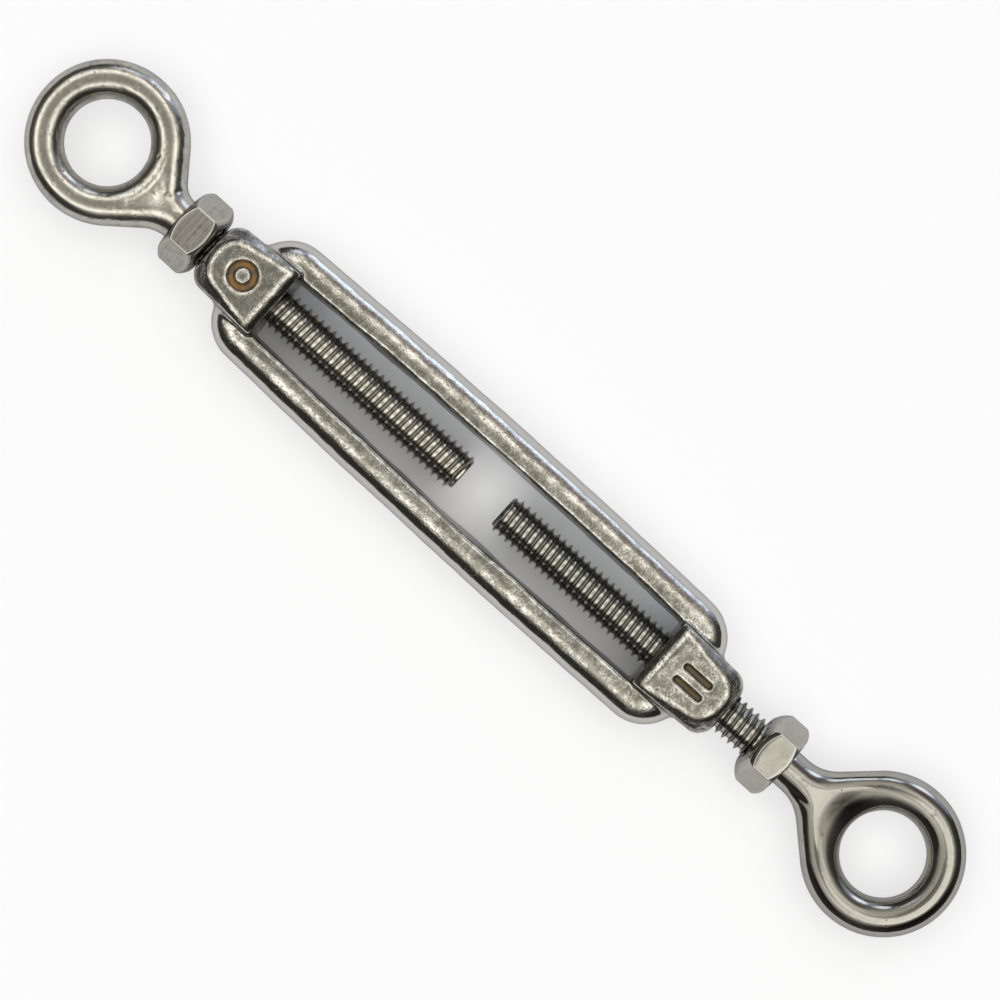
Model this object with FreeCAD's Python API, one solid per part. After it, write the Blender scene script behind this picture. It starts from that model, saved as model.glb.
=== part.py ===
import FreeCAD, Part

import math
import os

# Eye and eye turnbuckle, lying flat. Lengths are in millimetres.
# X runs along the screws, the eyes lie in the XY plane and Z is up.
# The pieces are built about the middle of the body, on the screws' axis, and are
# then moved so that the origin lies under the middle of the whole object's box.

# Screws. The thread is cut as closed rings of its true section, pitch and depth. The
# tips face each other across a gap, whose middle is offset to the right of the body's.
SHANK_RADIUS = 3.85
THREAD_PITCH = 1.4111
THREAD_DEPTH = 0.87
THREAD_CREST_WIDTH = 0.2
THREAD_ROOT_WIDTH = 0.25
TIP_GAP = 9.3
TIP_GAP_OFFSET = 3.3
TIP_CHAMFER = 0.9
THREAD_CLEARANCE = 0.05
MOUTH_CHAMFER = 0.4

# Body: a boss at each end, two rails, and an open window between them
BODY_LENGTH = 119.6
WINDOW_LENGTH = 90.2
WINDOW_WIDTH = 13.4
RAIL_WIDTH = 6.45
RAIL_HALF_HEIGHT = 4.0
RAIL_BOW = 0.6
RAIL_CORNER_RADIUS = 7.2
RAIL_CORNER_SETBACK = 1.6
RAIL_WALL_DRAFT = 0.6
RAIL_EDGE_RADIUS = 0.45

# Boss: widest at mid height, drafted to a raised tapering plate above and below
BOSS_HALF_HEIGHT = 6.75
BOSS_OUTER_WIDTH = 12.9
BOSS_INNER_WIDTH = 14.2
BOSS_OUTER_CORNER = 2.4
BOSS_INNER_CORNER = 0.8
PLATE_OUTER_WIDTH = 8.7
PLATE_INNER_WIDTH = 13.1
PLATE_OUTER_CORNER = 3.0
PLATE_END_DRAFT = 1.4
PLATE_EDGE_RADIUS = 0.5

# Plain sunk marks on the upper plates, a ring and a pair of bars
MARK_DEPTH = 0.6
RING_MARK_RADIUS = 2.7
RING_MARK_WIDTH = 1.3
BAR_MARK_LENGTH = 6.0
BAR_MARK_WIDTH = 1.2
BAR_MARK_SPACING = 2.8

# Lock nuts
NUT_ACROSS_FLATS = 13.0
NUT_THICKNESS = 6.6
NUT_FACE_RADIUS = 5.8
NUT_CHAMFER_ANGLE = 40.0

# Eyes: a round bar bent to a ring, with a narrow straight land inside the hole
EYE_HOLE_RADIUS = 7.75
EYE_BAR_RADIUS = 3.45
EYE_LAND_DEPTH = 0.15
FLARE_INSET = 0.1
NUT_SEAT_GAP = 0.05

# The two ends differ in how far they are screwed out and in how they were forged.
# A nut gap is from the boss to the nut, a neck length from the nut to the ring's
# centre, and a flare length from that centre to where the neck begins to widen. The
# first crest of the thread is measured from the tip.
LEFT_FIRST_CREST = 1.01
LEFT_NUT_GAP = 0.85
LEFT_NECK_LENGTH = 18.75
LEFT_NECK_RADIUS = 4.0
LEFT_FLARE_LENGTH = 16.3
LEFT_FLARE_FILLET = 4.0
LEFT_RING_OFFSET = 1.45
RIGHT_FIRST_CREST = 0.62
RIGHT_NUT_GAP = 7.45
RIGHT_NECK_LENGTH = 23.15
RIGHT_NECK_RADIUS = 3.55
RIGHT_FLARE_LENGTH = 17.5
RIGHT_FLARE_FILLET = 5.8
RIGHT_RING_OFFSET = 0.1

X_AXIS = FreeCAD.Vector(1, 0, 0)
Y_AXIS = FreeCAD.Vector(0, 1, 0)
Z_AXIS = FreeCAD.Vector(0, 0, 1)
CENTRE = FreeCAD.Vector(0, 0, 0)

ring_outer_radius = EYE_HOLE_RADIUS - EYE_LAND_DEPTH + 2 * EYE_BAR_RADIUS
ring_middle_radius = ring_outer_radius - EYE_BAR_RADIUS
hole_radius = SHANK_RADIUS + THREAD_CLEARANCE


class End:
    """One end of the turnbuckle, measured outwards from the middle of the body."""

    def __init__(self, turned, first_crest, nut_gap, neck_length, neck_radius,
                 flare_length, flare_fillet, ring_offset):
        self.turned = turned
        self.tip_x = TIP_GAP / 2 + (-TIP_GAP_OFFSET if turned else TIP_GAP_OFFSET)
        self.first_crest_x = self.tip_x + first_crest
        self.nut_inner = BODY_LENGTH / 2 + nut_gap
        self.nut_outer = self.nut_inner + NUT_THICKNESS
        self.thread_end = self.nut_outer + NUT_SEAT_GAP
        self.ring_x = self.nut_outer + neck_length
        self.ring_y = ring_offset
        self.neck_radius = neck_radius
        self.flare_x = self.ring_x - flare_length
        self.flare_fillet = flare_fillet

    def place(self, shape):
        """Turn a piece built for the right end over to this end."""
        if self.turned:
            return shape.rotated(CENTRE, Y_AXIS, 180)
        return shape


LEFT = End(True, LEFT_FIRST_CREST, LEFT_NUT_GAP, LEFT_NECK_LENGTH, LEFT_NECK_RADIUS,
           LEFT_FLARE_LENGTH, LEFT_FLARE_FILLET, LEFT_RING_OFFSET)
RIGHT = End(False, RIGHT_FIRST_CREST, RIGHT_NUT_GAP, RIGHT_NECK_LENGTH, RIGHT_NECK_RADIUS,
            RIGHT_FLARE_LENGTH, RIGHT_FLARE_FILLET, RIGHT_RING_OFFSET)


def corner_arc(before, corner, after, radius):
    """The start, middle and end of an arc that rounds a corner between two lines."""
    to_before = (before - corner).normalize()
    to_after = (after - corner).normalize()
    half_angle = to_before.getAngle(to_after) / 2
    setback = radius / math.tan(half_angle)
    start = corner + to_before * setback
    end = corner + to_after * setback
    inwards = (to_before + to_after).normalize()
    middle = corner + inwards * (radius / math.sin(half_angle) - radius)
    return start, middle, end


def rounded_outline(corners, radii):
    """A closed wire through the corners, each rounded by its own radius."""
    count = len(corners)
    arcs = []
    for i in range(count):
        before = corners[i - 1]
        after = corners[(i + 1) % count]
        arcs.append(corner_arc(before, corners[i], after, radii[i]))
    edges = []
    for i in range(count):
        start, middle, end = arcs[i]
        edges.append(Part.Arc(start, middle, end).toShape())
        edges.append(Part.makeLine(end, arcs[(i + 1) % count][0]))
    return Part.Wire(edges)


def rod_along_x(radius, start, end):
    """A cylinder on the screws' axis."""
    return Part.makeCylinder(radius, end - start, FreeCAD.Vector(start, 0, 0), X_AXIS)


def cone_along_x(start_radius, end_radius, start, end):
    """A cone on the screws' axis."""
    place = FreeCAD.Vector(start, 0, 0)
    return Part.makeCone(start_radius, end_radius, end - start, place, X_AXIS)


def threaded_hole(start, end):
    """The space of a screw's hole, with its chamfered mouths."""
    wide = hole_radius + MOUTH_CHAMFER
    hole = rod_along_x(hole_radius, start - MOUTH_CHAMFER, end + MOUTH_CHAMFER)
    first = cone_along_x(wide, hole_radius, start, start + MOUTH_CHAMFER)
    last = cone_along_x(hole_radius, wide, end - MOUTH_CHAMFER, end)
    return hole.fuse([first, last])


def boss_outline(end_x, outer_width, inner_width, outer_corner, height):
    """The boss at one height: a trapezoid, narrow at its outer end."""
    inner_x = WINDOW_LENGTH / 2
    corners = [
        FreeCAD.Vector(end_x, -outer_width / 2, height),
        FreeCAD.Vector(end_x, outer_width / 2, height),
        FreeCAD.Vector(inner_x, inner_width / 2, height),
        FreeCAD.Vector(inner_x, -inner_width / 2, height),
    ]
    radii = [outer_corner, outer_corner, BOSS_INNER_CORNER, BOSS_INNER_CORNER]
    return rounded_outline(corners, radii)


def boss():
    """The right boss, drafted from mid height to its two plates."""
    end_x = BODY_LENGTH / 2
    plate_x = end_x - PLATE_END_DRAFT
    plates = [boss_outline(plate_x, PLATE_OUTER_WIDTH, PLATE_INNER_WIDTH,
                           PLATE_OUTER_CORNER, height)
              for height in (-BOSS_HALF_HEIGHT, BOSS_HALF_HEIGHT)]
    middle = boss_outline(end_x, BOSS_OUTER_WIDTH, BOSS_INNER_WIDTH, BOSS_OUTER_CORNER, 0)
    block = Part.makeLoft([plates[0], middle, plates[1]], True, True)
    rim = [edge for edge in block.Edges
           if min(abs(v.Z) for v in edge.Vertexes) > BOSS_HALF_HEIGHT / 2]
    return block.makeFillet(PLATE_EDGE_RADIUS, rim)


def rail_section(origin, outwards):
    """The rail's section: round outside, a narrow flat above and below, and an
    inner wall that leans back from the parting line. It is drawn from the centre
    of the rail's corner, along the given direction."""
    def point(reach, height):
        return origin + outwards * reach + Z_AXIS * height

    inner = RAIL_CORNER_RADIUS - RAIL_WIDTH
    round_centre = RAIL_CORNER_RADIUS - RAIL_HALF_HEIGHT
    parting = point(inner, 0)
    edges = []
    for height in (RAIL_HALF_HEIGHT, -RAIL_HALF_HEIGHT):
        shoulder = point(inner + RAIL_WALL_DRAFT, height)
        flat_end = point(round_centre, height)
        start, middle, end = corner_arc(parting, shoulder, flat_end, RAIL_EDGE_RADIUS)
        edges.append(Part.makeLine(parting, start))
        edges.append(Part.Arc(start, middle, end).toShape())
        edges.append(Part.makeLine(end, flat_end))
    edges.append(Part.Arc(point(round_centre, RAIL_HALF_HEIGHT),
                          point(RAIL_CORNER_RADIUS, 0),
                          point(round_centre, -RAIL_HALF_HEIGHT)).toShape())
    return Part.Face(Part.Wire(Part.sortEdges(edges)[0]))


def rail():
    """One rail: a slightly bowed length whose ends turn in to the bosses."""
    corner_x = WINDOW_LENGTH / 2 + RAIL_CORNER_SETBACK
    corner_y = WINDOW_WIDTH / 2 + RAIL_WIDTH - RAIL_BOW - RAIL_CORNER_RADIUS
    bow_radius = (corner_x ** 2 + RAIL_BOW ** 2) / (2 * RAIL_BOW)
    bow_centre = FreeCAD.Vector(0, corner_y + RAIL_BOW - bow_radius, 0)
    tilt = math.degrees(math.asin(corner_x / bow_radius))
    pieces = []
    for side in (1, -1):
        corner = FreeCAD.Vector(side * corner_x, corner_y, 0)
        section = rail_section(corner, (corner - bow_centre).normalize())
        pieces.append(section.revolve(corner, Z_AXIS, -side * (90 - tilt)))
        if side == 1:
            pieces.append(section.revolve(bow_centre, Z_AXIS, 2 * tilt))
    return pieces[0].fuse(pieces[1:])


def ring_mark(x):
    """The space of a sunk ring on the upper plate."""
    floor = FreeCAD.Vector(x, 0, BOSS_HALF_HEIGHT - MARK_DEPTH)
    disc = Part.makeCylinder(RING_MARK_RADIUS, 2 * MARK_DEPTH, floor, Z_AXIS)
    island = Part.makeCylinder(RING_MARK_RADIUS - RING_MARK_WIDTH, 2 * MARK_DEPTH,
                               floor, Z_AXIS)
    return disc.cut(island)


def bar_marks(x):
    """The space of two sunk bars on the upper plate, side by side."""
    bars = []
    for y in (-BAR_MARK_SPACING / 2, BAR_MARK_SPACING / 2):
        low = FreeCAD.Vector(x - BAR_MARK_LENGTH / 2, y - BAR_MARK_WIDTH / 2,
                             BOSS_HALF_HEIGHT - MARK_DEPTH)
        bars.append(Part.makeBox(BAR_MARK_LENGTH, BAR_MARK_WIDTH, 2 * MARK_DEPTH, low))
    return bars


def turnbuckle_body():
    """The one-piece body: two bosses and two rails, bored for both screws."""
    right_boss = boss()
    left_boss = right_boss.rotated(CENTRE, Z_AXIS, 180)
    upper_rail = rail()
    lower_rail = upper_rail.rotated(CENTRE, X_AXIS, 180)
    casting = right_boss.fuse([left_boss, upper_rail, lower_rail]).removeSplitter()
    right_hole = threaded_hole(WINDOW_LENGTH / 2, BODY_LENGTH / 2)
    left_hole = right_hole.rotated(CENTRE, Z_AXIS, 180)
    mark_x = (WINDOW_LENGTH / 2 + BODY_LENGTH / 2) / 2
    marks = [ring_mark(-mark_x)] + bar_marks(mark_x)
    return casting.cut([right_hole, left_hole] + marks)


def lock_nut(end):
    """A hexagon nut, flat side up, with both faces chamfered."""
    corner_radius = NUT_ACROSS_FLATS / 2 / math.cos(math.radians(30))
    corners = []
    for i in range(7):
        angle = math.radians(60 * i)
        corners.append(FreeCAD.Vector(end.nut_inner, corner_radius * math.cos(angle),
                                      corner_radius * math.sin(angle)))
    prism = Part.Face(Part.makePolygon(corners)).extrude(X_AXIS * NUT_THICKNESS)
    slope = math.tan(math.radians(NUT_CHAMFER_ANGLE))
    middle = (end.nut_inner + end.nut_outer) / 2
    wide = NUT_FACE_RADIUS + NUT_THICKNESS / 2 / slope
    first = cone_along_x(NUT_FACE_RADIUS, wide, end.nut_inner, middle)
    last = cone_along_x(wide, NUT_FACE_RADIUS, middle, end.nut_outer)
    nut = prism.common(first.fuse(last))
    return end.place(nut.cut(threaded_hole(end.nut_inner, end.nut_outer)))


def threaded_rod(end):
    """A rod with the thread's rings, longer than the screw at both ends."""
    half_crest = THREAD_CREST_WIDTH / 2
    half_root = THREAD_ROOT_WIDTH / 2
    root_radius = SHANK_RADIUS - THREAD_DEPTH
    crest_x = end.first_crest_x - THREAD_PITCH
    points = [FreeCAD.Vector(crest_x - half_crest, 0, 0)]
    while crest_x < end.thread_end + THREAD_PITCH:
        root_x = crest_x + THREAD_PITCH / 2
        points.append(FreeCAD.Vector(crest_x - half_crest, SHANK_RADIUS, 0))
        points.append(FreeCAD.Vector(crest_x + half_crest, SHANK_RADIUS, 0))
        points.append(FreeCAD.Vector(root_x - half_root, root_radius, 0))
        points.append(FreeCAD.Vector(root_x + half_root, root_radius, 0))
        crest_x += THREAD_PITCH
    points.append(FreeCAD.Vector(points[-1].x, 0, 0))
    points.append(points[0])
    return Part.Face(Part.makePolygon(points)).revolve(CENTRE, X_AXIS, 360)


def shank(end):
    """The screw from the eye's neck to its chamfered tip."""
    clear_x = end.tip_x + 2 * TIP_CHAMFER
    clear_radius = SHANK_RADIUS + TIP_CHAMFER
    tip = cone_along_x(SHANK_RADIUS - TIP_CHAMFER, clear_radius, end.tip_x, clear_x)
    room = tip.fuse(rod_along_x(clear_radius, clear_x, end.thread_end))
    return threaded_rod(end).common(room)


def flare_side(end, side):
    """The flare's outline on one side, from the neck to the ring: the neck's edge,
    a hollow round, a straight run tangent to the ring, and a step in to the middle
    of the ring's bar. It returns the shaped edges, the step and the two end points."""
    ring = FreeCAD.Vector(end.ring_x, end.ring_y, 0)
    half_width = end.neck_radius - FLARE_INSET
    outer = ring_outer_radius - FLARE_INSET
    start = FreeCAD.Vector(end.thread_end + FLARE_INSET, side * half_width, 0)
    corner = FreeCAD.Vector(end.flare_x, side * half_width, 0)
    reach = corner - ring
    spread = math.degrees(math.acos(outer / reach.Length))
    turn = FreeCAD.Rotation(Z_AXIS, -side * spread)
    towards_tangent = turn.multVec(reach).normalize()
    tangent = ring + towards_tangent * outer
    inside = ring + towards_tangent * ring_middle_radius
    arc_start, arc_middle, arc_end = corner_arc(start, corner, tangent, end.flare_fillet)
    shaped = [
        Part.makeLine(start, arc_start),
        Part.Arc(arc_start, arc_middle, arc_end).toShape(),
        Part.makeLine(arc_end, tangent),
    ]
    return shaped, Part.makeLine(tangent, inside), start, inside


def flare(end):
    """The web that widens from the neck to the ring, with rounded sides."""
    upper, upper_step, upper_start, upper_inside = flare_side(end, 1)
    lower, lower_step, lower_start, lower_inside = flare_side(end, -1)
    nearest = FreeCAD.Vector(end.ring_x - ring_middle_radius, end.ring_y, 0)
    others = [
        upper_step,
        lower_step,
        Part.Arc(upper_inside, nearest, lower_inside).toShape(),
        Part.makeLine(upper_start, lower_start),
    ]
    outline = Part.Wire(Part.sortEdges(upper + lower + others)[0])
    half_height = EYE_BAR_RADIUS - FLARE_INSET
    outline.translate(Z_AXIS * -half_height)
    web = Part.Face(outline).extrude(Z_AXIS * (2 * half_height))
    sides = []
    for shaped in upper + lower:
        for height in (-half_height, half_height):
            middle = shaped.valueAt((shaped.FirstParameter + shaped.LastParameter) / 2)
            spot = Part.Vertex(middle + Z_AXIS * height)
            sides.append(min(web.Edges, key=lambda edge: edge.distToShape(spot)[0]))
    return web.makeFillet(half_height - FLARE_INSET / 2, sides)


def eye_bolt(end):
    """An eye forged in one piece with its neck and screw."""
    ring_centre = FreeCAD.Vector(end.ring_x, end.ring_y, 0)
    ring = Part.makeTorus(ring_middle_radius, EYE_BAR_RADIUS, ring_centre, Z_AXIS)
    neck = rod_along_x(end.neck_radius, end.thread_end, end.flare_x)
    forging = shank(end).fuse([neck, flare(end), ring])
    low = ring_centre - Z_AXIS * EYE_BAR_RADIUS
    hole = Part.makeCylinder(EYE_HOLE_RADIUS, 2 * EYE_BAR_RADIUS, low, Z_AXIS)
    return end.place(forging.cut(hole).removeSplitter())


def origin_shift():
    """The move that puts the origin under the middle of the whole object's box."""
    left_x = -LEFT.ring_x - ring_outer_radius
    right_x = RIGHT.ring_x + ring_outer_radius
    body_y = WINDOW_WIDTH / 2 + RAIL_WIDTH
    low_y = min(LEFT.ring_y - ring_outer_radius, RIGHT.ring_y - ring_outer_radius, -body_y)
    high_y = max(LEFT.ring_y + ring_outer_radius, RIGHT.ring_y + ring_outer_radius, body_y)
    return FreeCAD.Vector(-(left_x + right_x) / 2, -(low_y + high_y) / 2, BOSS_HALF_HEIGHT)


def main():
    """Build every piece, move it to the origin and write it."""
    pieces = {
        "turnbuckle_body": turnbuckle_body(),
        "left_eye_bolt": eye_bolt(LEFT),
        "right_eye_bolt": eye_bolt(RIGHT),
        "left_lock_nut": lock_nut(LEFT),
        "right_lock_nut": lock_nut(RIGHT),
    }
    shift = origin_shift()
    print("screws' axis and middle of the body at", shift)
    os.makedirs("parts", exist_ok=True)
    for name, shape in pieces.items():
        shape.translate(shift)
        solid = shape.Solids[0]
        print(name, "valid", solid.isValid(), "solids", len(shape.Solids),
              "volume", round(solid.Volume, 1))
        solid.exportStep("parts/" + name + ".step")


main()
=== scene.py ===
"""A turnbuckle with an open cast body, an eye bolt and a lock nut at each end, lying on a pale table.

The body, the two eye bolts and the two lock nuts are worked out here as surfaces: the castings and
forgings from a function of space that is zero on their skin, the screw threads and the nuts from
grids of two parameters. Shapes are in millimetres from the middle of the body, X along the screws
and Z up, and go into Blender in metres in the frame's own place.
"""
import logging
import math
from dataclasses import dataclass, field
from enum import Enum
from functools import reduce
from itertools import product
from typing import Callable

import bpy
import numpy as np
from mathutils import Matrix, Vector


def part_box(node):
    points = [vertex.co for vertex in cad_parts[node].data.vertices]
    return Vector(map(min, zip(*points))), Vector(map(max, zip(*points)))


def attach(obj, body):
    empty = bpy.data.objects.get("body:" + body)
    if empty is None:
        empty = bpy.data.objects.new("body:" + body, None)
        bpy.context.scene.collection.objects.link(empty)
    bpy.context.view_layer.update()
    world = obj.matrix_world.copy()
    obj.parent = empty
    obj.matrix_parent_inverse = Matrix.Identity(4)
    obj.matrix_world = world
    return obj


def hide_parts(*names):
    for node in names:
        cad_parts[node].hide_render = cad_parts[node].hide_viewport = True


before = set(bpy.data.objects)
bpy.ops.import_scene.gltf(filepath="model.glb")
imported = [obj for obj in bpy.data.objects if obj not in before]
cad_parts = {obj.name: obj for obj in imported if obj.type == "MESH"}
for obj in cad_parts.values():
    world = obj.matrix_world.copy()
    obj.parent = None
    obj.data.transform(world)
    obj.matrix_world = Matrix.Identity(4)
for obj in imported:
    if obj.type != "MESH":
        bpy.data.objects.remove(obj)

Array = np.ndarray
Field = Callable[[Array], Array]
Colour = tuple[float, float, float]
Layers = tuple[tuple[float, float, float], ...]

MM = 0.001
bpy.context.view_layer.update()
log = logging.getLogger("turnbuckle")


def fade(start: float, end: float, values: Array) -> Array:
    """Rise from 0 at start to 1 at end with level ends (3t squared less 2t cubed).

    Args:
        start: The value that gives 0.
        end: The value that gives 1; it may be the smaller of the two.
        values: The values to fade.

    Returns:
        An array of the same shape, from 0 to 1.
    """
    share = np.clip((values - start) / (end - start), 0.0, 1.0)
    return share * share * (3.0 - 2.0 * share)


def soft_max(first: Array, second: Array, width: float) -> Array:
    """The larger of two fields, blended by a parabola where they differ by less than width.

    Args:
        first: One field's values.
        second: The other field's values.
        width: The difference at which the blend starts.

    Returns:
        The blended values, which cut a rounded edge.
    """
    overlap = np.maximum(width - np.abs(first - second), 0.0)
    return np.maximum(first, second) + overlap * overlap / (4.0 * width)


def soft_min(first: Array, second: Array, width: float) -> Array:
    """The smaller of two fields, blended into a hollow fillet; the mirror of soft_max."""
    return -soft_max(-first, -second, width)


def round_max(first: Array, second: Array, radius: float) -> Array:
    """Where two walls meet, an outer corner with a true round of that radius.

    Inside the corner's square the value is the distance from the round's centre, less the radius.

    Args:
        first: Signed distance to one wall, positive outside.
        second: Signed distance to the other wall.
        radius: The round's radius.

    Returns:
        The signed distance to the rounded pair.
    """
    a = first + radius
    b = second + radius
    outside = np.hypot(np.maximum(a, 0.0), np.maximum(b, 0.0))
    return outside + np.minimum(np.maximum(a, b), 0.0) - radius


def bar_section(reach: Array, height: Array, half_height: Array | float) -> Array:
    """A flat bar with a full round on its edge.

    Args:
        reach: Distance in plan past the bar's edge, negative inside.
        height: Height above the bar's middle plane.
        half_height: Half the bar's thickness, and the radius of its edge.

    Returns:
        The signed distance to the bar.
    """
    past = reach + half_height
    return np.where(past > 0.0, np.hypot(past, height), np.abs(height)) - half_height


class LatticeNoise:
    """Smooth noise from -1 to 1: random values on a cubic lattice, blended with a quintic."""

    CELLS = 32
    TURN = np.array([[0.36, 0.48, -0.80], [-0.80, 0.60, 0.00], [0.48, 0.64, 0.60]])

    def __init__(self, seed: int) -> None:
        """Draw the lattice's values from a fixed seed."""
        self.values = np.random.default_rng(seed).uniform(-1.0, 1.0, (self.CELLS,) * 3)

    def __call__(self, points: Array, wavelength: float, stretch: float = 1.0) -> Array:
        """Read the noise at points.

        Args:
            points: Places, one to a row.
            wavelength: The size of a lattice cell, in the points' units.
            stretch: How much longer the cells are along X, which gives streaks.

        Returns:
            One value a point.
        """
        scaled = points / wavelength / np.array([stretch, 1.0, 1.0])
        if stretch == 1.0:
            scaled = scaled @ self.TURN.T
        cell = np.floor(scaled).astype(np.int64)
        part = scaled - cell
        weight = part ** 3 * (part * (part * 6.0 - 15.0) + 10.0)
        total = np.zeros(len(points))
        for corner in product((0, 1), repeat=3):
            i, j, k = ((cell + corner) % self.CELLS).T
            shares = np.where(corner, weight, 1.0 - weight)
            total += shares.prod(axis=1) * self.values[i, j, k]
        return total

    def layers(self, points: Array, layers: Layers) -> Array:
        """The sum of noises, each given by its height, the points' shift and its wavelength."""
        return sum(height * self(points + shift, length) for height, shift, length in layers)

    def pits(self, points: Array, wavelength: float, floor: float) -> Array:
        """What stands above a floor in the noise, and 0 elsewhere, for scattered pits."""
        return np.clip(self(points, wavelength) - floor, 0.0, 1.0)


@dataclass
class Skin:
    """A surface as arrays: places, faces and what each point carries."""

    points: Array
    faces: Array
    marks: dict[str, Array] = field(default_factory=dict)

    def edges(self) -> tuple[Array, Array]:
        """The two ends of every face's sides, both ways round."""
        heads = self.faces.ravel()
        tails = np.roll(self.faces, -1, axis=1).ravel()
        return np.concatenate([heads, tails]), np.concatenate([tails, heads])

    def spread(self, values: Array) -> Array:
        """The mean of each point's neighbours, for one value or a row of values a point.

        Args:
            values: One row or value a point.

        Returns:
            The neighbours' means, in the same shape.
        """
        ends, others = self.edges()
        count = np.maximum(np.bincount(ends, minlength=len(self.points)), 1)
        columns = values.reshape(len(self.points), -1).T
        sums = [np.bincount(ends, column[others], minlength=len(self.points)) for column in columns]
        return (np.array(sums) / count).T.reshape(values.shape)

    def bend(self, normals: Array, rounds: int) -> Array:
        """How sharply the skin bends, in 1/mm: positive on ridges, negative in hollows.

        It is the height of each point over its neighbours' mean, divided by half the mean of the
        squared lengths of the sides that meet there, then averaged over the neighbours.

        Args:
            normals: Outward unit normals, one a point.
            rounds: How many times the result is averaged.

        Returns:
            One value a point.
        """
        ends, others = self.edges()
        squared = ((self.points[others] - self.points[ends]) ** 2).sum(axis=1)
        count = np.maximum(np.bincount(ends, minlength=len(self.points)), 1)
        mean_square = np.bincount(ends, squared, minlength=len(self.points)) / count
        rise = ((self.points - self.spread(self.points)) * normals).sum(axis=1)
        bend = 2.0 * rise / np.maximum(mean_square, 1e-6)
        for _ in range(rounds):
            bend = 0.5 * (bend + self.spread(bend))
        return bend

    def turned_out(self) -> "Skin":
        """This skin with all its faces turned over if its signed volume is negative."""
        a, b, c, d = (self.points[self.faces[:, i]] for i in range(4))
        volume = (a * np.cross(b, c)).sum() + (a * np.cross(c, d)).sum()
        if volume < 0.0:
            self.faces = self.faces[:, [1, 0, 3, 2]]
        return self

    def joined(self, other: "Skin") -> "Skin":
        """This skin and another, as two shells of one piece.

        Args:
            other: A skin whose points carry the same marks.

        Returns:
            The two together.
        """
        faces = np.concatenate([self.faces, other.faces + len(self.points)])
        marks = {name: np.concatenate([self.marks[name], other.marks[name]]) for name in self.marks}
        return Skin(np.concatenate([self.points, other.points]), faces, marks)

    def piece(self, name: str, middle: Array) -> bpy.types.Object:
        """Make the skin a Blender mesh, in metres and in the frame's place.

        Args:
            name: The object's name.
            middle: The body's middle in the frame, in millimetres.

        Returns:
            The linked object, shaded smooth.
        """
        mesh = bpy.data.meshes.new(name)
        sides = np.where(self.faces[:, 3] == self.faces[:, 2], 3, 4)
        corners = self.faces.ravel()[(np.arange(4) < sides[:, None]).ravel()]
        mesh.vertices.add(len(self.points))
        mesh.vertices.foreach_set("co", ((self.points + middle) * MM).astype(np.float32).ravel())
        mesh.loops.add(len(corners))
        mesh.loops.foreach_set("vertex_index", corners.astype(np.int32))
        mesh.polygons.add(len(sides))
        starts = np.concatenate([[0], np.cumsum(sides)[:-1]])
        mesh.polygons.foreach_set("loop_start", starts.astype(np.int32))
        mesh.update(calc_edges=True)
        mesh.validate()
        mesh.shade_smooth()
        for mark, values in self.marks.items():
            layer = mesh.attributes.new(mark, "FLOAT", "POINT")
            layer.data.foreach_set("value", values.astype(np.float32))
        made = bpy.data.objects.new(name, mesh)
        bpy.context.scene.collection.objects.link(made)
        return made


def slope_of(shape: Field, points: Array, step: float = 0.02) -> Array:
    """The gradient of a field by central differences.

    Args:
        shape: The field.
        points: Places, one to a row.
        step: Half the distance between the two readings, in millimetres.

    Returns:
        One gradient a point.
    """
    columns = []
    for axis in np.eye(3) * step:
        columns.append((shape(points + axis) - shape(points - axis)) / (2.0 * step))
    return np.stack(columns, axis=1)


def cell_sides() -> list[tuple[Array, Array]]:
    """The twelve sides of a grid cell, as pairs of corner offsets."""
    sides = []
    for corner in product((0, 1), repeat=3):
        for axis in range(3):
            if corner[axis] == 0:
                start = np.array(corner)
                sides.append((start, start + np.eye(3, dtype=int)[axis]))
    return sides


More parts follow.
